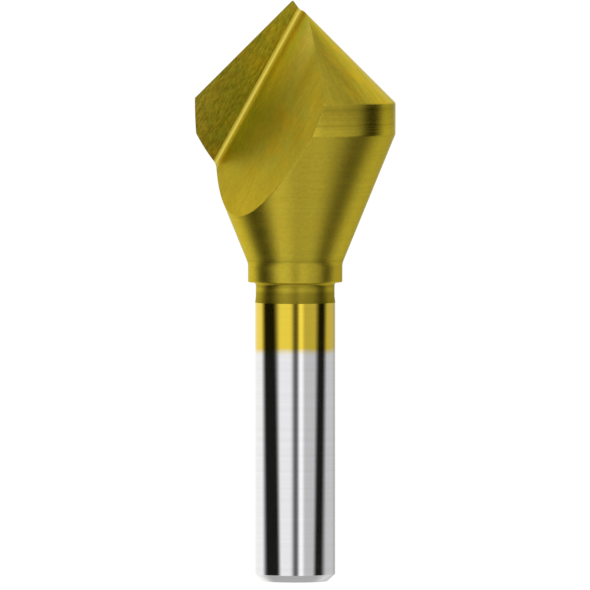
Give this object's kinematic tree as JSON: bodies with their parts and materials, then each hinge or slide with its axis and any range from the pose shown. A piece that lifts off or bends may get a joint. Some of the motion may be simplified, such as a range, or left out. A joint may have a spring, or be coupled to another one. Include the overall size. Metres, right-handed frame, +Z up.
{
  "type": "countersink bit",
  "caption": "Single-flute 90 degree countersink and deburring bit with a cylindrical shank; sinks and deburrs holes up to 20 mm across.",
  "frame": {"origin": "centre of the shank's end face, on the tool axis", "axes": "+Z up the tool axis from the shank end to the point; -X is the side of the cutting edge; -Y is the open side of the flute, the way the edge moves as it cuts"},
  "size_m": [0.02, 0.0199, 0.058],
  "materials": {
    "coated_tool_steel": "ground high-speed steel; gold nitride coating on the head and the top of the shank, bright bare steel below it"
  },
  "bodies": {
    "root": {"countersink_bit": "coated_tool_steel"}
  },
  "joints": []
}
